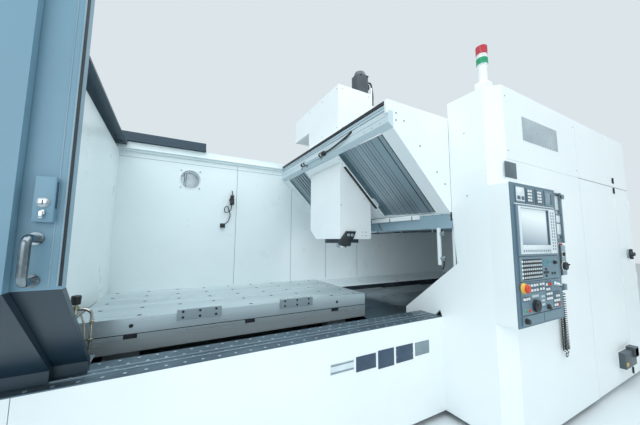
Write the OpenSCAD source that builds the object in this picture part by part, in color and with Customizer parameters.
/* [Machine] */
// Length of the machine along the table's travel
machine_l = 7000; // [6900:10:7200]
// Clear length of the bridge between the two column covers
bridge_l = 2330; // [2290:10:2400]
// Height of the column covers above the floor
cover_top = 2785; // [2760:5:2840]
// Gap between the floor and the covers
floor_gap = 55; // [50:1:60]
// Thickness of a folded cover panel
panel_t = 25; // [20:1:28]
// Height of the sill that the doors run on
sill_z = 845; // [835:1:855]
// Height of the back wall's top edge
wall_top = 2600; // [2580:5:2610]

/* [Table] */
// Length of the table
table_l = 2180; // [2150:5:2200]
// Width of the table
table_w = 1100; // [1060:5:1140]
// Height of the table's top face above the floor
table_top = 1010; // [1005:1:1020]
// Thickness of the top plate
top_plate_t = 100; // [90:1:104]
// Thickness of the lower table
base_plate_t = 110; // [106:1:118]
// Distance between the tapped holes in the top plate
hole_pitch = 250; // [225:5:260]
// Radius of a tapped hole in the top plate
hole_r = 8; // [6:0.5:10]
// Travel of the table
table_travel = 2200; // [2100:10:2200]

/* [Bridge] */
// Left edge of the bridge cover's fascia
fascia_x = -104; // [-110:1:-98]
// Height of the fascia's top edge
fascia_top = 2643; // [2635:1:2648]
// Slope of the slatted cover below the horizontal
slope = 44.6; // [44:0.1:45]
// Length of the slatted cover down the slope
slope_l = 919; // [910:1:922]
// Width of one telescopic slat
slat_w = 160; // [158:1:162]
// Travel of the head carriage towards the operator
travel_front = 500; // [450:5:500]
// Travel of the head carriage towards the back wall
travel_back = 360; // [300:5:360]
// Width of the carriage's slanted cover
carriage_w = 815; // [810:1:818]

/* [Head] */
// Depth of the head along the table
head_d = 413; // [408:1:416]
// Width of the head along the bridge
head_w = 695; // [685:1:700]
// Height of the head's lower face above the floor
head_z = 1538; // [1530:1:1545]
// Travel of the head below its place at rest
travel_down = 310; // [280:5:310]
// Travel of the head above its place at rest
travel_up = 350; // [300:5:350]
// Radius of the spindle's front bearing
spindle_r = 66; // [60:1:70]

/* [Doors] */
// Thickness of a door leaf
leaf_t = 45; // [40:1:45]
// Width of the inner leaf, which has the handle
inner_leaf_l = 1450; // [1430:5:1460]
// Width of the outer leaf
outer_leaf_l = 1393; // [1380:1:1400]
// Travel of the inner leaf from open to closed
door_travel = 2517; // [2450:1:2518]

/* [Panel] */
// Width of the operator panel
console_w = 700; // [680:5:720]
// Height of the operator panel
console_h = 1062; // [1050:2:1080]
// Height of the operator panel's lower edge
console_z = 898; // [890:1:905]
// How far the operator panel stands proud of the column cover
console_proud = 60; // [50:1:70]
// Radius of the large handwheel
wheel_r = 46; // [40:1:50]

/* [Hidden] */

$fn = 48;
half_l = machine_l / 2;
// Centre line of the table, bed and bridge, behind the origin by half of what stands proud in front
stop_proud = 50;
centre_y = (console_proud + stop_proud) / 2;
half_bridge = bridge_l / 2;
column_d = 425;
front = half_bridge + column_d;
column_x = 625;
column_l = 1440;
// How far the columns and the cross rail reach from the centre line
column_out = half_bridge + 320;
cabinet_x = column_x + column_l;
breaker_x = half_l - 485;
breaker_knob_x = half_l - 225;
breaker_knob_z = 1381;
seam = 6;
seam_z = 2168;
running_gap = 0.5;
seat_gap = 0.3;
trough_top = sill_z - 6;
apron_y = 1022;
apron_seam = -2125;
bevel = 100;
shaft_gap = 0.05;
eps = 0.01;

// Bed, rails and drive of the table
bed_left = -2990;
bed_right = half_l - 250;
rail_seat = 640;
rail_h = 60;
rail_w = 56;
rail_y = 380;
wing_top = 330;
truck_w = 110;
x_screw_z = 725;
x_screw_r = 31;
journal_r = 25;
table_right = 120;
table_left = table_right - table_l;
table_z = table_top - top_plate_t;
base_z = table_z - base_plate_t;

// Telescopic covers of the bed
way_l = 850;
way_end_right = bed_right - 50;
way_steps = 3;
way_step_t = 12;
way_wall = 4;
way_end_left = table_left - way_l - 30;

// Slanted plane of the bridge: its top edge, and its direction
ridge_x = -57;
ridge_z = 2419;
rail_face_x = 560;
tray_z = 1632;
saddle_face_x = 430;
saddle_t = 70;
y_rail_z = [2060, 2480];
y_screw_x = 530;
y_screw_z = 2260;
y_screw_r = 20;
carriage_y = 62.5;
slat_flange = 149;
rear_flange = 173;
slat_count = 7;
slat_layer = 6;
slat_t = 3;

// Head, its screw and its motor
head_x = 9;
spindle_x = 255;
z_screw_x = 400;
z_screw_y = -140;
z_screw_r = 16;
housing_top = 3255;
housing_t = 8;
housing_gap = 5;
z_rail_w = 40;

module box(low, high) {
    translate(low) cube(high - low);
}

// A profile drawn in Y and Z, drawn out along X
module along_x(x0, x1) {
    translate([x0, centre_y, 0])
        rotate([90, 0, 90]) linear_extrude(x1 - x0) children();
}

// A profile drawn in X and Z, drawn out along Y
module along_y(y0, y1) {
    translate([0, centre_y + y1, 0])
        rotate([90, 0, 0]) linear_extrude(y1 - y0) children();
}

// A box whose Y is counted from the centre line
module block(x0, x1, y0, y1, z0, z1) {
    translate([x0, centre_y + y0, z0]) cube([x1 - x0, y1 - y0, z1 - z0]);
}

// A round bar along X, Y or Z
module bar_x(x0, x1, y, z, r) {
    translate([x0, centre_y + y, z]) rotate([0, 90, 0]) cylinder(r = r, h = x1 - x0);
}
module bar_y(y0, y1, x, z, r) {
    translate([x, centre_y + y1, z]) rotate([90, 0, 0]) cylinder(r = r, h = y1 - y0);
}
module bar_z(z0, z1, x, y, r) {
    translate([x, centre_y + y, z0]) cylinder(r = r, h = z1 - z0);
}

// The slanted plane: X runs down the slope, Z runs into the bridge
module on_slope() {
    translate([ridge_x, centre_y, ridge_z]) rotate([0, slope, 0]) children();
}

// Both sides of the centre line
module both_sides() {
    children();
    translate([0, 2 * centre_y, 0]) mirror([0, 1, 0]) children();
}

// Cast bed with a screw channel between its two rail seats, and a wing under each column
module bed() {
    base_w = 600;
    top_w = 470;
    channel_w = 240;
    channel_z = rail_seat - 90;
    block_y = 70;
    color("gainsboro") difference() {
        union() {
            along_x(bed_left, bed_right) polygon([[-base_w, 60], [base_w, 60], [base_w, wing_top],
                [top_w, 430], [top_w, rail_seat], [channel_w, rail_seat], [channel_w, channel_z],
                [-channel_w, channel_z], [-channel_w, rail_seat], [-top_w, rail_seat],
                [-top_w, 430], [-base_w, wing_top]]);
            both_sides() block(660, 1600, -column_out, -base_w + 1, 60, wing_top);
            block(bed_left, bed_left + 90, -block_y, block_y, channel_z - 1, x_screw_z + 50);
            block(bed_right - 90, bed_right - 20, -block_y, block_y, channel_z - 1, x_screw_z + 50);
        }
        for (x = [bed_left + 200 : 520 : bed_right - 400])
            both_sides() block(x, x + 380, -base_w - 1, -base_w + 90, 110, wing_top - 50);
        bar_x(bed_left - 1, bed_right, 0, x_screw_z, journal_r + shaft_gap);
    }
}

// Levelling feet: a round pad and a nut on a stud
module levelling_feet() {
    spots = [for (x = [bed_left + 120 : 780 : bed_right - 60]) for (y = [-520, 520]) [x, y]];
    wing_spots = [for (x = [760, 1500]) for (y = [-1, 1]) [x, y * (column_out - 30)]];
    color("dimgray") for (p = concat(spots, wing_spots)) {
        bar_z(0, 20, p[0], p[1], 60);
        bar_z(20, 60, p[0], p[1], 16);
        translate([p[0], centre_y + p[1], 34]) cylinder(r = 30, h = 20, $fn = 6);
    }
}

// Profile of a linear rail with its waist
module rail_profile(w, h) {
    polygon([[-w / 2, 0], [w / 2, 0], [w / 2, h * 0.35], [w * 0.34, h * 0.5], [w * 0.34, h * 0.62],
        [w / 2, h * 0.8], [w / 2, h], [-w / 2, h], [-w / 2, h * 0.8], [-w * 0.34, h * 0.62],
        [-w * 0.34, h * 0.5], [-w / 2, h * 0.35]]);
}

// Two rails on the bed and two on the cross rail
module guide_rails() {
    rail_end = half_bridge - 40;
    color("silver") {
        for (y = [-rail_y, rail_y])
            along_x(bed_left + 60, bed_right - 60) translate([y, rail_seat]) rail_profile(rail_w, rail_h);
        for (z = y_rail_z)
            along_y(-rail_end, rail_end) translate([rail_face_x, z]) rotate(90)
                rail_profile(44, rail_face_x - saddle_face_x - saddle_t - 5);
    }
}

// A cast column on each wing of the bed, with a tapered foot and cored windows
module columns() {
    foot = [[700, wing_top], [1560, wing_top], [1560, 420], [1420, 700], [1420, 1800], [700, 1800]];
    color("gainsboro") both_sides() difference() {
        along_y(-column_out, -half_bridge - panel_t) polygon(foot);
        for (z = [520, 960, 1400])
            block(800, 1300, -column_out - 1, -column_out + 160, z, z + 300);
    }
}

// The cast cross rail that lies on both columns and carries the head's rails
module cross_rail() {
    main = [[660, 2560], [660, 1890], [740, 1800], [1300, 1800], [1300, 2440], [1180, 2560]];
    guide = [[rail_face_x, 2550], [rail_face_x, 1990], [661, 1890], [661, 2550]];
    block_h = 45;
    color("gainsboro") difference() {
        union() {
            along_y(-column_out, column_out) polygon(main);
            along_y(-half_bridge + panel_t + 10, half_bridge - panel_t - 10) polygon(guide);
            for (y = [-half_bridge + 45, half_bridge - 105])
                block(y_screw_x - 38, rail_face_x + 1, y, y + 60, y_screw_z - block_h, y_screw_z + block_h);
        }
        bar_y(-half_bridge, half_bridge, y_screw_x, y_screw_z, y_screw_r - 4 + shaft_gap);
        for (y = [-880 : 440 : 880])
            block(1000, 1301, y - 130, y + 130, 1950, 2300);
    }
}

// Sheet troughs that lead chips and coolant along both sides of the bed
module chip_trough() {
    trough = [[-800, sill_z - 6], [-794, sill_z - 6], [-794, 504], [-558, 446], [-476, 476],
        [-476, 590], [-470, 590], [-470, 470], [-556, 438], [-800, 498]];
    color("slategray") both_sides() along_x(bed_left + 60, half_l - 2 * panel_t) polygon(trough);
}

// Front splash apron in two panels with an open seam
module front_apron() {
    apron = [[-apron_y, floor_gap], [-apron_y + panel_t, floor_gap], [-apron_y + panel_t, trough_top],
        [-apron_y, trough_top]];
    color("white") {
        along_x(-half_l, apron_seam - 3) polygon(apron);
        along_x(apron_seam, column_x) polygon(apron);
    }
}

// Dark tread plate on the apron, with raised dots and the doors' two running strips
module sill_tread() {
    dot_rows = 4;
    dot_pitch = 90;
    color("slategray") {
        block(-half_l, column_x, -apron_y, -780, trough_top, sill_z);
        for (y = [-895, -945]) block(-half_l, column_x - 30, y - 4, y + 4, sill_z - 1, sill_z + 4.7);
        for (row = [0 : dot_rows - 1]) for (x = [-2090 + (row % 2) * dot_pitch / 2 : dot_pitch : 560])
            bar_z(sill_z - 1, sill_z + 3, x, -1000 + row * 62, 9, $fn = 8);
    }
}

// Underside of the roof sections, and the top of the rail on the back wall
roof_z = wall_top + 10;
rail_top = wall_top + 85;
port_x = -1372;
port_z = 2303;
port_r = 118;

// Inner back wall with a round duct port, a sloping ledge and the roof's running rail
module back_wall() {
    color("lightcyan") difference() {
        union() {
            block(-half_l, half_l, half_bridge, half_bridge + panel_t, floor_gap, wall_top + 1);
            along_x(-2100, half_l - panel_t) polygon([[half_bridge + 1, 905], [half_bridge + 1, 885],
                [806, sill_z], [800, trough_top + seat_gap], [780, trough_top + seat_gap], [780, sill_z + 5]]);
            along_x(-half_l, fascia_x - 1) polygon([[half_bridge - 20, wall_top - 30],
                [half_bridge - 20, roof_z - 12], [half_bridge - 45, roof_z - 12],
                [half_bridge - 45, roof_z - seat_gap], [half_bridge - 20, roof_z - seat_gap],
                [half_bridge - 20, rail_top], [half_bridge + panel_t, rail_top],
                [half_bridge + panel_t, wall_top], [half_bridge + 1, wall_top - 30]]);
            block(fascia_x - 2, column_x, half_bridge, half_bridge + panel_t, wall_top, rail_top);
            bar_y(half_bridge + panel_t - 1, half_bridge + 90, port_x, port_z, port_r + 6);
            bar_y(half_bridge - 17, half_bridge + 1, -845, 2070, 30);
            block(-980, -925, half_bridge - 17, half_bridge + 1, 1690, 1740);
        }
        bar_y(half_bridge - 1, half_bridge + 91, port_x, port_z, port_r);
        block(column_x + 15, 1320, half_bridge - 1, half_bridge + panel_t + 1, 1780, wall_top + 2);
        block(column_x + 15, 1620, half_bridge - 1, half_bridge + panel_t + 1, 0, wing_top + 10);
        bar_y(half_bridge - 1, half_bridge + panel_t + 1, y_screw_x, y_screw_z, 60);
        for (x = [-1, 1]) for (z = [-1, 1])
            bar_y(half_bridge - 1, half_bridge + 20, port_x + x * 112, port_z + z * 112, 5);
    }
}

// Post and slanted splash plate at the right end of the door opening
module door_post() {
    color("white") difference() {
        along_x(column_x, column_x + panel_t) polygon([[-1299 + seat_gap, cover_top - panel_t],
            [-1299 + seat_gap, 1141], [-1000, 898 + seat_gap], [-921, 814], [-590, 782], [-590, sill_z],
            [-1195, 1325], [-half_bridge - eps, 1745], [-half_bridge - eps, cover_top - panel_t]]);
        block(column_x - 1, column_x + panel_t + 1, -800 - seat_gap, -794 + seat_gap, 700,
            trough_top + seat_gap);
    }
}

// Covers round the left end of the bed, with the enclosure's left wall
module left_end_cover() {
    wall_x = -2170;
    low_top = 1700;
    color("lightcyan") {
        difference() {
            along_x(wall_x, wall_x + panel_t) polygon([[-840, sill_z + 5], [-840, 917], [-1360, 1347],
                [-1360, wall_top - 40], [half_bridge - 50, wall_top - 40], [half_bridge - 1, wall_top - 80],
                [half_bridge, sill_z + 5]]);
            block(wall_x - 1, wall_x + panel_t + 1, -665, 665, 0, 930);
            block(wall_x - 1, wall_x + panel_t + 1, 664, half_bridge + 1, 0, 880);
        }
        difference() {
            block(-half_l, wall_x + 1, -800, half_bridge, sill_z, low_top);
            block(-half_l + panel_t, wall_x + 2, -800 + panel_t, half_bridge - panel_t, sill_z - 1,
                low_top - panel_t);
        }
        difference() {
            block(-half_l, -half_l + panel_t, -apron_y + panel_t, half_bridge, floor_gap, trough_top);
            for (z = [300 : 60 : 600]) block(-half_l - 1, -half_l + panel_t + 1, -200, 200, z, z + 20);
        }
    }
}

// Tall cover of the front column, with a bevelled corner and an open seam
module column_cover() {
    inner = front - panel_t;
    turn = panel_t * (sqrt(2) - 1);
    left_side = [[-front, floor_gap], [-apron_y, floor_gap], [-apron_y, trough_top], [-1000, 898],
        [-1299, 1141], [-1299, cover_top], [-front, cover_top]];
    color("white") difference() {
        union() {
            along_x(column_x, column_x + panel_t) polygon(left_side);
            block(column_x, cabinet_x - seam, -front, -inner, floor_gap, cover_top);
            block(column_x, cabinet_x - seam, -front, -half_bridge, cover_top - panel_t, cover_top);
            for (z = [600, 1300]) block(760, 1360, -inner - 1, -column_out, z, z + 80);
            translate([0, centre_y, floor_gap]) linear_extrude(cover_top - floor_gap)
                polygon([[column_x, -front + bevel], [column_x + bevel, -front],
                    [column_x + bevel + turn, -inner], [column_x + panel_t, -front + bevel + turn]]);
        }
        translate([column_x, centre_y - front, 0]) rotate(45)
            cube([bevel * sqrt(2), bevel * sqrt(2), 3 * cover_top], center = true);
        block(column_x - 1, cabinet_x, -front - 1, -front + 4, seam_z - 1.5, seam_z + 1.5);
    }
}

// Electric cabinet beside the column cover: shell, partition and fixed upper panels
module cabinet_body() {
    depth = column_d;
    color("white") difference() {
        block(cabinet_x, half_l, -front, -front + depth, floor_gap, cover_top);
        block(cabinet_x + panel_t, breaker_x - 10, -front - 1, -front + depth - panel_t,
            floor_gap + panel_t, cover_top - panel_t);
        block(breaker_x + 15, half_l - panel_t, -front - 1, -front + depth - panel_t,
            floor_gap + panel_t, cover_top - panel_t);
        block(cabinet_x - 1, half_l + 1, -front - 1, -front + panel_t, floor_gap - 1, seam_z);
    }
    color("white") {
        block(cabinet_x + panel_t - 1, breaker_x - 9, -front, -front + panel_t, seam_z + 4, cover_top - 1);
        block(breaker_x + 14, half_l - panel_t + 1, -front, -front + panel_t, seam_z + 4, cover_top - 1);
    }
    color("gray") {
        block(cabinet_x + 150, breaker_x - 160, -front + depth - panel_t - 120,
            -front + depth - panel_t, 500, 1900);
        block(breaker_x + 90, half_l - 120, -front + depth - panel_t - 90,
            -front + depth - panel_t, 900, 1700);
    }
}

// Cover of the rear column and of the bridge drive
module rear_column_cover() {
    x0 = 380;
    far = half_bridge + column_d;
    color("white") difference() {
        block(x0, cabinet_x, half_bridge + panel_t, far, floor_gap, cover_top);
        block(x0 + panel_t, cabinet_x - panel_t, half_bridge + panel_t - 1, far - panel_t,
            floor_gap - 1, cover_top - panel_t);
        for (z = [2300 : 45 : 2600]) block(900, 1700, far - panel_t - 1, far + 1, z, z + 18);
    }
}

// Walls and roof of the enclosure to the right of the bridge
module right_enclosure() {
    roof_x = 1320;
    color("lightcyan") {
        difference() {
            block(column_x + panel_t, half_l - panel_t, -half_bridge, -half_bridge + panel_t,
                floor_gap, fascia_top);
            block(column_x, roof_x, -half_bridge - 1, -half_bridge + panel_t + 1, tray_z - 2, fascia_top + 1);
            block(640, 1660, -half_bridge - 1, -half_bridge + panel_t + 1, 0, wing_top + 10);
        }
        block(half_l - panel_t, half_l, -half_bridge, half_bridge, floor_gap, fascia_top);
        block(roof_x, half_l - panel_t + 1, -half_bridge, half_bridge + panel_t, fascia_top - panel_t, fascia_top);
        block(roof_x, half_l - panel_t + 1, half_bridge, half_bridge + panel_t, wall_top + 1, fascia_top - 1);
    }
}

// White cover of the bridge: fascia, end plates, slanted flanges, lower lip, top strip and under tray
module bridge_cover() {
    inside = half_bridge - 19;
    ridge_in = [ridge_x + 20 * sin(slope), ridge_z + 20 * cos(slope)];
    plate = [[fascia_x, fascia_top], [lip_back, fascia_top], [lip_back, lip_z], [lip_x, lip_z],
        [ridge_x, ridge_z], [fascia_x, ridge_z + 36]];
    color("white") {
        along_y(-half_bridge, -half_bridge + 20) polygon(plate);
        difference() {
            along_y(half_bridge - 20, half_bridge) polygon(plate);
            bar_y(half_bridge - 21, half_bridge + 1, y_screw_x, y_screw_z, 60);
        }
        along_y(-inside, inside) polygon([[fascia_x, fascia_top],
            [fascia_x + 70, fascia_top], [fascia_x + 70, fascia_top - 12], [fascia_x + 20, fascia_top - 12],
            [fascia_x + 20, ridge_z + 48], ridge_in, [ridge_x, ridge_z], [fascia_x, ridge_z + 36]]);
        along_y(-inside, inside) polygon([[lip_x, lip_z], [lip_back, lip_z],
            [lip_back, lip_z + 40], [lip_x + 10, lip_z + 18]]);
        along_y(-half_bridge, half_bridge) polygon([[lip_back - 1, tray_z], [1310, tray_z], [1310, 1790],
            [1290, 1790], [1290, tray_z + 20], [lip_back + 9, tray_z + 20], [lip_back + 9, 1700],
            [lip_back - 1, 1700]]);
        along_y(-inside, inside) polygon([[lip_back - 1, 1695], [lip_back + 9, 1695],
            [lip_back + 9, lip_z + 40], [lip_back - 1, lip_z + 40]]);
        block(510, 1320, -inside, half_bridge, fascia_top - 12, fascia_top);
        bar_y(-155, 394, fascia_x - 20, cylinder_z, 22);
        for (y = [-80, 290])
            block(fascia_x - 20, fascia_x + 5, y, y + 30, cylinder_z - 20, cylinder_z + 20);
    }
    color("powderblue") {
        along_y(-half_bridge + 10, front_edge) flange_profile();
        along_y(rear_edge, half_bridge - 10) flange_profile();
    }
    color("slategray") {
        slat(front_edge - slat_tuck, 0, 1, slat_w + slat_tuck);
        slat(rear_edge - slat_w, 0, -1, slat_w + slat_tuck);
    }
}

// Lower end of the slanted plane, and the sheet that lies on it at both ends of the bridge
lip_x = ridge_x + slope_l * cos(slope);
lip_z = ridge_z - slope_l * sin(slope);
lip_back = column_x - 3;
flange_t = 6;
cylinder_z = ridge_z + 60;
module flange_profile() {
    polygon([[ridge_x, ridge_z], [lip_x, lip_z], [lip_x + flange_t * sin(slope), lip_z + flange_t * cos(slope)],
        [ridge_x + flange_t * sin(slope) - 8 * cos(slope), ridge_z + flange_t * cos(slope) + 8 * sin(slope)],
        [ridge_x - 8 * cos(slope), ridge_z + 8 * sin(slope)]]);
}

// Slatted cover: the outermost slat is fixed to the flange, each next one lies a layer deeper
front_edge = -half_bridge + slat_flange;
rear_edge = half_bridge - rear_flange;
carriage_front = carriage_y - carriage_w / 2;
carriage_back = carriage_y + carriage_w / 2;
front_step = (carriage_front - front_edge - slat_w) / (slat_count - 1);
rear_step = (rear_edge - carriage_back - slat_w) / (slat_count - 1);
slat_tuck = 12;
slat_run = slope_l - 26;

// One slat: a sheet, and a wiper lip that drags over the next slat
module slat(y, layer, lip_side, w) {
    lip_h = slat_layer - slat_t - seat_gap;
    on_slope() translate([12, y, slat_layer * (layer + 1) - 0.2]) {
        cube([slat_run, w, slat_t]);
        if (lip_side != 0)
            translate([0, lip_side > 0 ? w - 3 : 0, slat_t - 1]) cube([slat_run, 3, lip_h + 1]);
    }
}

// The front and the rear slat that move with k shares of the carriage's travel
module slat_pair(k) {
    color("slategray") {
        slat(front_edge + k * front_step, k, 1, slat_w);
        slat(rear_edge - slat_w - k * rear_step, k, -1, slat_w);
    }
}
module slat_pair_1() { slat_pair(1); }
module slat_pair_2() { slat_pair(2); }
module slat_pair_3() { slat_pair(3); }
module slat_pair_4() { slat_pair(4); }
module slat_pair_5() { slat_pair(5); }

// Operator panel: console with its sunk front, keyboard ledge and pads
console_x = 628;
console_y = -front - console_proud;
lean = seat_gap * sqrt(2);
screen_x = console_x + 95;
screen_z = console_z + 593;
screen_w = 437;
screen_h = 279;
stop_x = console_x + 72;
stop_z = console_z + 279;
wheel_x = console_x + 222;
wheel_z = console_z + 143;
knob_x = console_x + 422;
knob_z = console_z + 115;
key_x = console_x + 595;
key_z = console_z + 266;
start_x = console_x + 87;
halt_x = console_x + 135;
start_z = console_z + 115;
module panel_housing() {
    color("slategray") difference() {
        union() {
            translate([0, centre_y, console_z]) linear_extrude(console_h)
                polygon([[column_x, -front + bevel - lean], [column_x, console_y], [console_x + console_w, console_y],
                    [console_x + console_w, -front], [column_x + bevel - lean, -front]]);
            block(console_x + 40, console_x + 655, console_y - 12, console_y + 1, console_z + 510, console_z + 895);
            block(console_x + 45, console_x + 650, console_y - 8, console_y + 1, console_z + 326, console_z + 504);
            block(console_x + 40, console_x + 655, console_y - 8, console_y + 1, console_z + 88, console_z + 320);
            for (x = [[40, 348], [356, 655]])
                block(console_x + x[0], console_x + x[1], console_y - 6, console_y + 1, console_z + 14, console_z + 80);
            for (i = [0 : 3])
                block(console_x + 60 + i * 150, console_x + 190 + i * 150, console_y - 6, console_y + 1,
                    console_z + 912, console_z + 1040);
        }
        block(screen_x, screen_x + screen_w, console_y - 13, console_y + 2, screen_z, screen_z + screen_h);
        bar_y(console_y - 20, console_y + 40, stop_x, stop_z, 12.3);
        bar_y(console_y - 20, console_y + 40, wheel_x, wheel_z, 10.3);
        bar_y(console_y - 20, console_y + 40, knob_x, knob_z, 6.3);
        bar_y(console_y - 20, console_y + 40, key_x, key_z, 8.3);
        for (x = [start_x, halt_x]) bar_y(console_y - 20, console_y + 40, x, start_z, 11.3);
    }
    color("gray") document_rack();
}

// Rack at the panel's side: holder plates, and the sockets of the pendant and of its cord
rack_x = console_x + console_w;
module document_rack() {
    block(rack_x, rack_x + 215, -front - 12, -front, console_z + 900, console_z + 1062);
    block(rack_x + 195, rack_x + 215, -front - 30, -front, console_z + 610, console_z + 1062);
    block(rack_x + 60, rack_x + 196, -front - 16, -front, console_z + 680, console_z + 860);
    block(rack_x + 190, rack_x + 230, -front - 45, -front - 11, console_z + 1005, console_z + 1045);
    block(rack_x, rack_x + 216, -front - 14, -front, console_z + 610, console_z + 648);
    block(coil_x - 5, coil_x + 45, -front - 50, -front, coil_top, coil_top + 50);
    block(pendant_x + 10, pendant_x + pendant_w - 10, -front - 6, -front, pendant_z + 30, pendant_z + 230);
}

module panel_screen() {
    color("lightsteelblue") block(screen_x, screen_x + screen_w, console_y - 4, console_y + 2,
        screen_z, screen_z + screen_h);
}

// Hand-held pendant in its holder
pendant_x = 1345;
pendant_z = 1232;
pendant_w = 120;
pendant_h = 258;
pendant_face = -front - 6 - 52;
coil_x = 1405;
coil_top = 1108;
coil_r = 18;
module hand_pendant() {
    mid = pendant_x + pendant_w / 2;
    color("dimgray") difference() {
        union() {
            translate([0, centre_y, 0]) block_round(pendant_x, pendant_x + pendant_w, pendant_face,
                -front - 6, pendant_z, pendant_z + pendant_h, 14);
            bar_y(pendant_face - 14, pendant_face + 1, mid, pendant_z + 180, 17);
            bar_z(pendant_z + pendant_h - 1, pendant_z + pendant_h + 14, mid - 30, pendant_face + 26, 12);
            bar_z(pendant_z - 30, pendant_z + 1, mid - 20, pendant_face + 26, 9);
        }
        bar_y(pendant_face - 15, pendant_face + 30, mid, pendant_z + 80, 8.3);
    }
}
module block_round(x0, x1, y0, y1, z0, z1, r) {
    translate([0, y1, 0]) rotate([90, 0, 0]) linear_extrude(y1 - y0) union() {
        translate([x0 + r, z0]) square([x1 - x0 - 2 * r, z1 - z0]);
        translate([x0, z0 + r]) square([x1 - x0, z1 - z0 - 2 * r]);
        for (x = [x0 + r, x1 - r]) for (z = [z0 + r, z1 - r]) translate([x, z]) circle(r = r);
    }
}

module pendant_dial() {
    mid = pendant_x + pendant_w / 2;
    color("black") {
        bar_y(pendant_face - 24, pendant_face - seat_gap, mid, pendant_z + 80, 34);
        bar_y(pendant_face - 1, pendant_face + 28, mid, pendant_z + 80, 8);
        bar_y(pendant_face - 36, pendant_face - 23, mid + 18, pendant_z + 92, 7);
    }
}

// Straight lead from the pendant to the coil, as points chosen by hand
lead_r = 4;
lead_route = [[1385, -1621, 1202], [1385, -1621, 1170], [1386, -1618, 1140], [1387, -1616, 1108]];
function ring(p, r, n) = [for (i = [0 : n - 1]) p + [r * cos(360 * i / n), r * sin(360 * i / n), 0]];
module swept_tube(route, r, n) {
    points = [for (p = route) for (q = ring([p[0], p[1] + centre_y, p[2]], r, n)) q];
    last = len(route) - 1;
    sides = [for (k = [0 : last - 1]) for (i = [0 : n - 1])
        [k * n + i, (k + 1) * n + i, (k + 1) * n + (i + 1) % n, k * n + (i + 1) % n]];
    caps = [[for (i = [0 : n - 1]) i], [for (i = [n - 1 : -1 : 0]) last * n + i]];
    polyhedron(points = points, faces = concat(sides, caps));
}
module pendant_lead() {
    color("black") swept_tube(lead_route, lead_r, 8);
}

// Outer shape of the coiled cord, which hangs as a long loop
module pendant_coil() {
    coil_y = -front - 26;
    low_z = 578;
    color("black") translate([coil_x, centre_y + coil_y, 0]) {
        for (x = [-coil_r, coil_r + 2]) translate([x, 0, low_z]) cylinder(r = coil_r, h = coil_top - low_z, $fn = 24);
        translate([1, 0, low_z]) rotate([-90, 0, 0]) rotate_extrude(angle = 180, $fn = 24)
            translate([coil_r + 1, 0]) circle(r = coil_r, $fn = 24);
    }
}

// Signal tower: base box, pole and three lamps
module signal_tower() {
    x = column_x + 77;
    y = -front + 129;
    color("white") {
        block(x - 50, x + 50, y - 50, y + 50, cover_top, cover_top + 72);
        bar_z(cover_top + 71, cover_top + 236, x, y, 34);
    }
    color("green") bar_z(cover_top + 235, cover_top + 290, x, y, 45);
    color("white") bar_z(cover_top + 289, cover_top + 328, x, y, 42);
    color("red") bar_z(cover_top + 327, cover_top + 400, x, y, 45);
    color("gray") bar_z(cover_top + 399, cover_top + 406, x, y, 38);
}

// Servo motors of the table's screw and of the carriage's screw
module servo_motors() {
    color("dimgray") {
        block(bed_left - 300, bed_left - 20, -95, 95, x_screw_z - 95, x_screw_z + 95);
        block(bed_left - 21, bed_left, -110, 110, x_screw_z - 110, x_screw_z + 110);
        bar_x(bed_left - 420, bed_left - 299, 0, x_screw_z, 80);
        block(y_screw_x - 80, y_screw_x + 80, half_bridge + 26, half_bridge + 300, y_screw_z - 80, y_screw_z + 80);
        block(y_screw_x - 95, y_screw_x + 95, half_bridge + panel_t, half_bridge + 45, y_screw_z - 95, y_screw_z + 95);
        bar_y(half_bridge + 299, half_bridge + 370, y_screw_x, y_screw_z, 65);
    }
}

module work_lamp() {
    color("white") block(575, 618, -810, 40, 1730, ridge_z - slope_l * sin(slope) - seat_gap);
}

// Profile of a telescopic bed cover, each step smaller than the one before
module way_profile(o) {
    polygon([[-640 + o, 606], [-640 + o, 760 - o], [-200, 900 - o], [200, 900 - o], [640 - o, 760 - o],
        [640 - o, 606], [636 - o, 606], [636 - o, 757 - o], [199, 896 - o], [-199, 896 - o],
        [-636 + o, 757 - o], [-636 + o, 606]]);
}
module way_lip(o) {
    lip = way_step_t - seat_gap;
    polygon([[-640 + o, 606], [-640 + o, 760 - o], [-200, 900 - o], [200, 900 - o], [640 - o, 760 - o],
        [640 - o, 606], [640 - o - lip, 606], [640 - o - lip, 760 - o - lip], [200, 900 - o - lip],
        [-200, 900 - o - lip], [-640 + o + lip, 760 - o - lip], [-640 + o + lip, 606]]);
}
module way_segment(x, step, lip_right) {
    o = step * way_step_t;
    along_x(x, x + way_l) way_profile(o);
    if (step < way_steps)
        along_x(lip_right ? x + way_l - 30 : x, lip_right ? x + way_l : x + 30) way_lip(o);
}
right_step = (way_end_right - table_right - way_l) / way_steps;
left_step = (table_left - way_end_left - way_l) / way_steps;
module way_pair(k) {
    color("dimgray") {
        way_segment(table_right + k * right_step, k, true);
        way_segment(table_left - way_l - k * left_step, k, false);
    }
}
module way_cover_table() {
    way_pair(0);
    color("whitesmoke") block(table_right, table_right + 22, -table_w / 2, table_w / 2, table_top - 45, table_top - 4);
}
module way_cover_outer() { way_pair(1); }
module way_cover_inner() { way_pair(2); }
module way_cover_ends() {
    inner_w = 640 - way_steps * way_step_t;
    way_pair(3);
    color("dimgray") both_sides() for (x = [way_end_left + 40, way_end_right - 90])
        block(x, x + 50, -inner_w + 3, -470, 608, 638);
}

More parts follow.
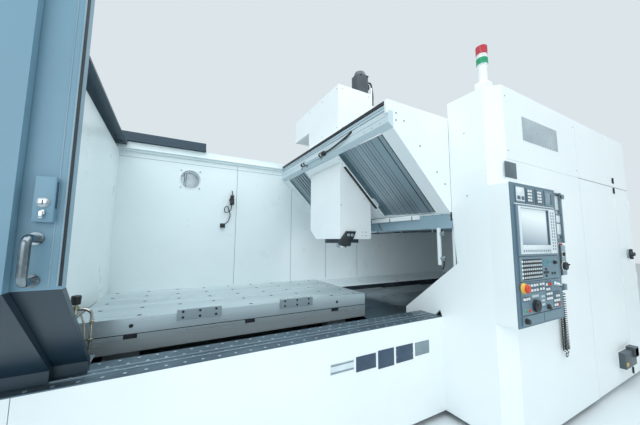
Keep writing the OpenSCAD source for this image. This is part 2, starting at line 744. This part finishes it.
// Doors of the cabinets
module hinged_panel(x0, x1) {
    color("white") {
        block(x0, x1, -front, -front + panel_t - seat_gap, floor_gap + 3, seam_z - 3);
        for (z = [floor_gap + 120, seam_z / 2 - 40, seam_z - 240]) bar_z(z, z + 110, x1, -front, 3);
    }
}
module cabinet_door() {
    hinged_panel(cabinet_x, breaker_x - 3);
    color("dimgray") {
        block(breaker_x - 395, breaker_x - 65, -front - 55, -front + 1, 215, 370);
        block(breaker_x - 165, breaker_x - 55, -front - 75, -front + 1, 300, 395);
    }
}
module breaker_door() {
    difference() {
        hinged_panel(breaker_x + 3, half_l - 3);
        bar_y(-front - 1, -front + panel_t, breaker_knob_x, breaker_knob_z, 10 + running_gap);
    }
}
module breaker_handle() {
    x = breaker_knob_x;
    z = breaker_knob_z;
    color("gray") {
        bar_y(-front - 14, -front - seat_gap, x, z, 52);
        bar_y(-front - 13, -front + panel_t - 2, x, z, 10);
        block(x - 14, x + 14, -front - 44, -front - 13, z - 62, z + 62);
        bar_y(-front - 60, -front - 13, x, z, 22);
    }
}

// Things that are pushed or turned on the operator panel
module emergency_stop() {
    x = stop_x;
    z = stop_z;
    color("red") {
        bar_y(console_y - stop_proud, console_y - 30, x, z, 30);
        bar_y(console_y - 31, console_y + 30, x, z, 12);
    }
}
module handwheel() {
    x = wheel_x;
    z = wheel_z;
    color("black") {
        bar_y(console_y - 34, console_y - 8 - seat_gap, x, z, wheel_r);
        bar_y(console_y - 9, console_y + 36, x, z, 10);
        bar_y(console_y - 48, console_y - 33, x - wheel_r / 2, z + wheel_r / 3, 9);
    }
}
module override_knob() {
    x = knob_x;
    z = knob_z;
    color("black") {
        bar_y(console_y - 32, console_y - 8 - seat_gap, x, z, 20);
        bar_y(console_y - 9, console_y + 36, x, z, 6);
        block(x - 3, x + 3, console_y - 36, console_y - 31, z, z + 19);
    }
}
module key_switch() {
    x = key_x;
    z = key_z;
    color("silver") {
        bar_y(console_y - 16, console_y - 8 - seat_gap, x, z, 14);
        bar_y(console_y - 9, console_y + 30, x, z, 8);
        block(x - 2, x + 2, console_y - 42, console_y - 15, z - 11, z + 11);
    }
}
module push_button(x, z) {
    bar_y(console_y - 16, console_y + 24, x, z, 11);
}
module start_button() {
    color("green") push_button(start_x, start_z);
}
module stop_button() {
    color("red") push_button(halt_x, start_z);
}

// Ball screw of the table
module x_screw() {
    color("silver") {
        bar_x(bed_left + seat_gap, bed_left + 110, 0, x_screw_z, journal_r);
        bar_x(bed_left + 109, bed_right - 110, 0, x_screw_z, x_screw_r);
        bar_x(bed_right - 111, bed_right - 10, 0, x_screw_z, journal_r);
    }
}

// Lower table with its four carriages and the nut's bracket
module table_base() {
    mid = (table_left + table_right) / 2;
    color("gainsboro") difference() {
        union() {
            block(table_left, table_right, -table_w / 2, table_w / 2, base_z, table_z);
            for (x = [table_left + 150, table_right - 350]) for (y = [-rail_y, rail_y])
                block(x, x + 200, y - truck_w / 2, y + truck_w / 2, rail_seat + 18, base_z + 1);
            block(mid - 110, mid + 110, -75, 75, x_screw_z - 60, base_z + 1);
        }
        for (y = [-rail_y, rail_y]) along_x(table_left - 1, table_right + 1)
            translate([y, rail_seat]) scale([1, 1])
                rail_slot(rail_w, rail_h);
        bar_x(mid - 111, mid + 111, 0, x_screw_z, x_screw_r + seat_gap);
        for (x = [-1758, -990, -219]) block(x - 38, x + 38, -table_w / 2 - 1, -table_w / 2 + 30, table_z - 30, table_z + 1);
        block(table_left - 1, table_right + 1, -table_w / 2 - 1, -table_w / 2 + 4, table_z - 3, table_z + 1);
    }
}
module rail_slot(w, h) {
    g = running_gap;
    polygon([[-w / 2 - g, -1], [w / 2 + g, -1], [w / 2 + g, h * 0.35 + 2], [w * 0.34 + g, h * 0.5 + 1],
        [w * 0.34 + g, h * 0.62 - 1], [w / 2 + g, h * 0.8 - 2], [w / 2 + g, h + g], [-w / 2 - g, h + g],
        [-w / 2 - g, h * 0.8 - 2], [-w * 0.34 - g, h * 0.62 - 1], [-w * 0.34 - g, h * 0.5 + 1],
        [-w / 2 - g, h * 0.35 + 2]]);
}

// Top plate with its grid of tapped holes and the two stop plates on its front edge
module table_plate() {
    mid = (table_left + table_right) / 2;
    edge = -table_w / 2;
    color("silver") difference() {
        union() {
            block(table_left, table_right, edge, -edge, table_z, table_top);
            for (x = [-1352, -602]) block(x - 146, x + 146, edge - 18, edge + 1, table_top - 48, table_top + 22);
        }
        for (i = [-4 : 4]) for (j = [-2 : 2])
            bar_z(table_top - 40, table_top + 1, mid + i * hole_pitch, j * hole_pitch * 0.98, hole_r);
        for (x = [-1757, -197]) bar_y(edge - 1, edge + 45, x, table_z + 50, 13);
        for (x = [-1352, -602]) for (i = [-1 : 1]) for (z = [-30, 8])
            bar_y(edge - 19, edge - 8, x + i * 108, table_top + z, 9);
        translate([table_left, centre_y - edge, table_z - 1]) rotate(45) cube([110, 110, 400], center = true);
    }
}

// Ball screw of the carriage
module y_screw() {
    color("silver") {
        bar_y(-half_bridge + 40, -half_bridge + 110, y_screw_x, y_screw_z, y_screw_r - 4);
        bar_y(-half_bridge + 109, half_bridge - 109, y_screw_x, y_screw_z, y_screw_r);
        bar_y(half_bridge - 110, half_bridge + panel_t - seat_gap, y_screw_x, y_screw_z, y_screw_r - 4);
    }
}

// Carriage: plate on the cross rail, slanted cover with the head's opening, rails for the head
module saddle() {
    back = saddle_face_x + saddle_t;
    y0 = carriage_front;
    y1 = carriage_back;
    head_y0 = carriage_y - head_w / 2;
    head_y1 = carriage_y + head_w / 2;
    foot = frame_t / cos(slope);
    plate_low = ridge_z - (saddle_face_x - ridge_x) * tan(slope) + foot - 6;
    plate_low_back = ridge_z - (back - ridge_x) * tan(slope) + foot - 6;
    color("gainsboro") difference() {
        union() {
            along_y(y0 + 10, y1 - 10) polygon([[saddle_face_x, 2600], [back, 2600], [back, plate_low_back],
                [saddle_face_x, plate_low]]);
            for (z = y_rail_z) for (y = [y0 + 20, y1 - 220])
                block(back - 1, rail_face_x - 6, y, y + 200, z - 45, z + 45);
            block(back - 1, y_screw_x + 25, carriage_y - 60, carriage_y + 60, y_screw_z - 42, y_screw_z + 42);
            for (y = z_rail_y) block(saddle_face_x - 36, saddle_face_x + 1, y - z_rail_w / 2, y + z_rail_w / 2, 2010, 2590);
            block(z_screw_x - 22, saddle_face_x + 1, z_screw_y - 20, z_screw_y + 20, 2040, 2090);
        }
        for (z = y_rail_z) along_y(y0, y1) translate([rail_face_x, z]) rotate(90)
            rail_slot(44, rail_face_x - saddle_face_x - saddle_t - 5);
        bar_y(y0, y1, y_screw_x, y_screw_z, y_screw_r + seat_gap);
        bar_z(2030, 2100, z_screw_x, z_screw_y, z_screw_r - 3 + shaft_gap);
    }
    color("white") difference() {
        on_slope() difference() {
            translate([4, y0, 0]) cube([slope_l - 18, y1 - y0, frame_t]);
            for (y = [y0 - 1, y1 - 47])
                translate([3, y, slat_layer - 0.5]) cube([slope_l, 48, frame_t]);
        }
        block(head_x - 7, saddle_face_x, head_y0 - 7, head_y1 + 7, 1700, 2700);
    }
    color("slategray") {
        slat(y0 - slat_w, slat_count - 1, 0, slat_w + 48);
        slat(y1 - 48, slat_count - 1, 0, slat_w + 48);
        on_slope() for (y = [y0 + 47, y1 - 52])
            translate([12, y, 5]) cube([slat_run, 5, slat_layer * slat_count + slat_t - 5.2]);
    }
}
frame_t = 30;
z_rail_y = [carriage_y - 240, carriage_y + 240];

// Tall cover on the carriage, which the head rises into, with its overhanging upper box
module saddle_housing() {
    x0 = head_x - 29;
    x1 = saddle_face_x - eps;
    y0 = carriage_y - head_w / 2 - housing_gap - housing_t;
    y1 = carriage_y + head_w / 2 + housing_gap + housing_t;
    over = 870;
    over_z = housing_top - 315;
    color("white") difference() {
        union() {
            block(x0, x1 + housing_t, y0, y1, 2610, housing_top);
            block(x0, x1 + housing_t, y1 - 1, over, over_z, housing_top);
        }
        block(x0 + housing_t, x1, y0 + housing_t, y1 - housing_t, 2600, housing_top - 80);
        block(x0 + housing_t, x1, y1 + housing_t, over - housing_t, over_z + housing_t, housing_top - housing_t);
        bar_z(housing_top - 90, housing_top + 1, z_screw_x, z_screw_y, z_screw_r + 2);
    }
    color("gainsboro") block(saddle_face_x, saddle_face_x + saddle_t, carriage_front + 40, carriage_back - 40, 2600, 2660);
    color("dimgray") {
        block(x1 + housing_t - 1, x1 + 88, y0 + 30, y0 + 110, housing_top - 250, housing_top - 120);
        bar_z(housing_top - 130, housing_top + 130, x1 + 73, y0 + 70, 11);
    }
}

module z_motor() {
    w = 88;
    c = 38;
    color("dimgray") {
        block(z_screw_x - 90, z_screw_x + 90, z_screw_y - 90, z_screw_y + 90, housing_top, housing_top + 24);
        translate([z_screw_x, centre_y + z_screw_y, housing_top + 23]) linear_extrude(257)
            polygon([[-w, c - w], [-w, w - c], [c - w, w], [w - c, w], [w, w - c], [w, c - w], [w - c, -w], [c - w, -w]]);
        translate([z_screw_x, centre_y + z_screw_y, housing_top + 279]) cylinder(r1 = 84, r2 = 62, h = 62);
    }
}

module z_screw() {
    color("silver") {
        bar_z(2045, 2100, z_screw_x, z_screw_y, z_screw_r - 3);
        bar_z(2099, housing_top - seat_gap, z_screw_x, z_screw_y, z_screw_r);
    }
}

// Spindle head: white cast and sheet body, chamfered below at the back, dark nose ring
module spindle_head() {
    y0 = carriage_y - head_w / 2;
    y1 = carriage_y + head_w / 2;
    top = 2690;
    x1 = head_x + head_d;
    slot_w = 52;
    color("white") difference() {
        along_x(head_x, x1) polygon([[y0, head_z], [y1 - 151, head_z], [y1, head_z + 116], [y1, top], [y0, top]]);
        for (y = z_rail_y) block(saddle_face_x - 36 - running_gap, x1 + 1, y - z_rail_w / 2 - running_gap,
            y + z_rail_w / 2 + running_gap, head_z - 1, top + 1);
        block(z_screw_x - 26, x1 + 1, z_screw_y - slot_w / 2, z_screw_y + slot_w / 2, head_z - 1, 2500);
        block(z_screw_x - 26, x1 + 1, z_screw_y - slot_w / 2, z_screw_y + slot_w / 2, 2620, top + 1);
        bar_z(2490, 2630, z_screw_x, z_screw_y, z_screw_r + seat_gap);
        bar_z(head_z - 1, head_z + 420, spindle_x, carriage_y, spindle_r + shaft_gap);
    }
    color("dimgray") difference() {
        union() {
            bar_z(head_z - 46, head_z + 1, spindle_x - 60, carriage_y, 150);
            block(spindle_x - 20, x1 - 12, carriage_y - 150, carriage_y + 150, head_z - 42, head_z + 1);
        }
        bar_z(head_z - 47, head_z + 2, spindle_x, carriage_y, spindle_r + shaft_gap);
        block(head_x - 200, head_x + 2, -400, 400, head_z - 60, head_z - 1);
        block(saddle_face_x - 36 - running_gap, x1 + 1, -400, 400, head_z - 60, head_z + 2);
    }
}

// Spindle with its taper, drawbar bore and drive keys
module spindle() {
    nose = head_z - 91;
    color("silver") difference() {
        union() {
            bar_z(nose, head_z + 410, spindle_x, carriage_y, spindle_r);
            for (s = [-1, 1]) block(spindle_x + s * 50 - 9, spindle_x + s * 50 + 9, carriage_y - 13,
                carriage_y + 13, nose - 9, nose + 1);
        }
        translate([spindle_x, centre_y + carriage_y, nose - eps]) cylinder(r1 = 34.9, r2 = 20, h = 102);
        bar_z(nose + 100, head_z + 411, spindle_x, carriage_y, 15);
    }
}

// Coolant block at the head's front corner with two nozzles and a pipe below the nose
module coolant_nozzles() {
    y = carriage_y - head_w / 2;
    color("dimgray") {
        along_y(y - 34, y) polygon([[head_x + 4, head_z + 2], [head_x + 150, head_z + 2],
            [head_x + 195, head_z + 84], [head_x + 70, head_z + 84]]);
        block(head_x + 20, head_x + 130, y - 34, y + 60, head_z - 70, head_z - seat_gap);
        block(head_x + 20, head_x + 130, y - 34, y - 4, head_z - 3, head_z + 3);
    }
    color("white") for (x = [head_x + 75, head_x + 125]) bar_y(y - 52, y - 33, x, head_z + 40, 15);
}

// A door leaf folded to the opening's profile: upright, slanted skirt and lower flange
module leaf_profile(out) {
    t = leaf_t;
    polygon([[out, 1335], [out, roof_z], [out + t, roof_z], [out + t, 1335], [out + t + 520, 905],
        [out + t + 520, sill_z + 5], [out + 520, sill_z + 5], [out + 520, 905]]);
}
inner_leaf_y = -1435;
outer_leaf_y = inner_leaf_y - leaf_t - 5;
open_edge = column_x - 3 - door_travel;
outer_edge = -2025;
module door_inner_leaf() {
    color("steelblue") {
        along_x(open_edge - inner_leaf_l, open_edge) leaf_profile(inner_leaf_y);
    }
}
module door_outer_leaf() {
    color("steelblue") along_x(outer_edge - outer_leaf_l, outer_edge) leaf_profile(outer_leaf_y);
}

// Roof sections that travel with the leaves and run on the back wall's rail
module roof_small() {
    color("slategray") block(open_edge - inner_leaf_l, open_edge - 752, inner_leaf_y, half_bridge - 25,
        roof_z, roof_z + 16);
}
module roof_large() {
    z = roof_z + 24;
    x0 = outer_edge - outer_leaf_l;
    x1 = outer_edge - 48;
    beam_x1 = outer_edge + 822;
    back = half_bridge + panel_t;
    color("slategray") {
        block(x0, x1, outer_leaf_y, half_bridge - 40, z, z + 20);
        block(x0, outer_edge, outer_leaf_y, outer_leaf_y + leaf_t, roof_z, z + 1);
        block(x0, x1, half_bridge - 60, half_bridge - 40, z, rail_top + 10);
        block(x0, beam_x1, half_bridge - 60, back, rail_top + 5, rail_top + 25);
        block(x0, beam_x1, half_bridge - 10, half_bridge + 10, rail_top + 24, rail_top + 127);
        for (x = [x0 + 100, x1 - 200, beam_x1 - 200])
            block(x, x + 150, half_bridge - 10, half_bridge + 10, rail_top + seat_gap, rail_top + 6);
    }
}

// Tube handle on the inner leaf, bent at both ends and set in round flanges
module door_handle() {
    x = open_edge - 80;
    y = inner_leaf_y - 78;
    low = 1367;
    high = 1510;
    tube_r = 14;
    bend_r = 22;
    color("silver") {
        bar_z(low + bend_r, high - bend_r, x, y, tube_r);
        for (end = [[low, 1], [high, -1]]) {
            bar_y(y + bend_r, inner_leaf_y, x, end[0], tube_r);
            bar_y(inner_leaf_y - 5, inner_leaf_y, x, end[0], 22);
            translate([x, centre_y + y + bend_r, end[0] + end[1] * bend_r]) rotate([0, 90, 0])
                rotate([0, 0, end[1] > 0 ? 270 : 180]) rotate_extrude(angle = 90)
                    translate([bend_r, 0]) circle(r = tube_r);
        }
    }
}

// Lock box on the inner leaf
module door_lock() {
    x = open_edge - 62;
    color("slategray") {
        block(x - 29, x + 28, inner_leaf_y - 32, inner_leaf_y, 1565, 1725);
    }
    color("silver") {
        bar_y(inner_leaf_y - 42, inner_leaf_y - 31, x, 1633, 13);
        block(x - 6, x + 6, inner_leaf_y - 50, inner_leaf_y - 31, 1577, 1604);
    }
}

bed();
levelling_feet();
guide_rails();
columns();
cross_rail();
chip_trough();
front_apron();
sill_tread();
back_wall();
door_post();
left_end_cover();
column_cover();
cabinet_body();
rear_column_cover();
right_enclosure();
bridge_cover();
panel_housing();
panel_screen();
hand_pendant();
pendant_lead();
pendant_coil();
signal_tower();
servo_motors();
work_lamp();
way_cover_ends();
cabinet_door();
breaker_door();
breaker_handle();
emergency_stop();
handwheel();
override_knob();
key_switch();
start_button();
stop_button();
pendant_dial();
x_screw();
table_base();
table_plate();
way_cover_table();
way_cover_outer();
way_cover_inner();
y_screw();
saddle();
saddle_housing();
z_motor();
z_screw();
spindle_head();
coolant_nozzles();
spindle();
door_inner_leaf();
door_outer_leaf();
door_handle();
door_lock();
roof_small();
roof_large();
slat_pair_1();
slat_pair_2();
slat_pair_3();
slat_pair_4();
slat_pair_5();
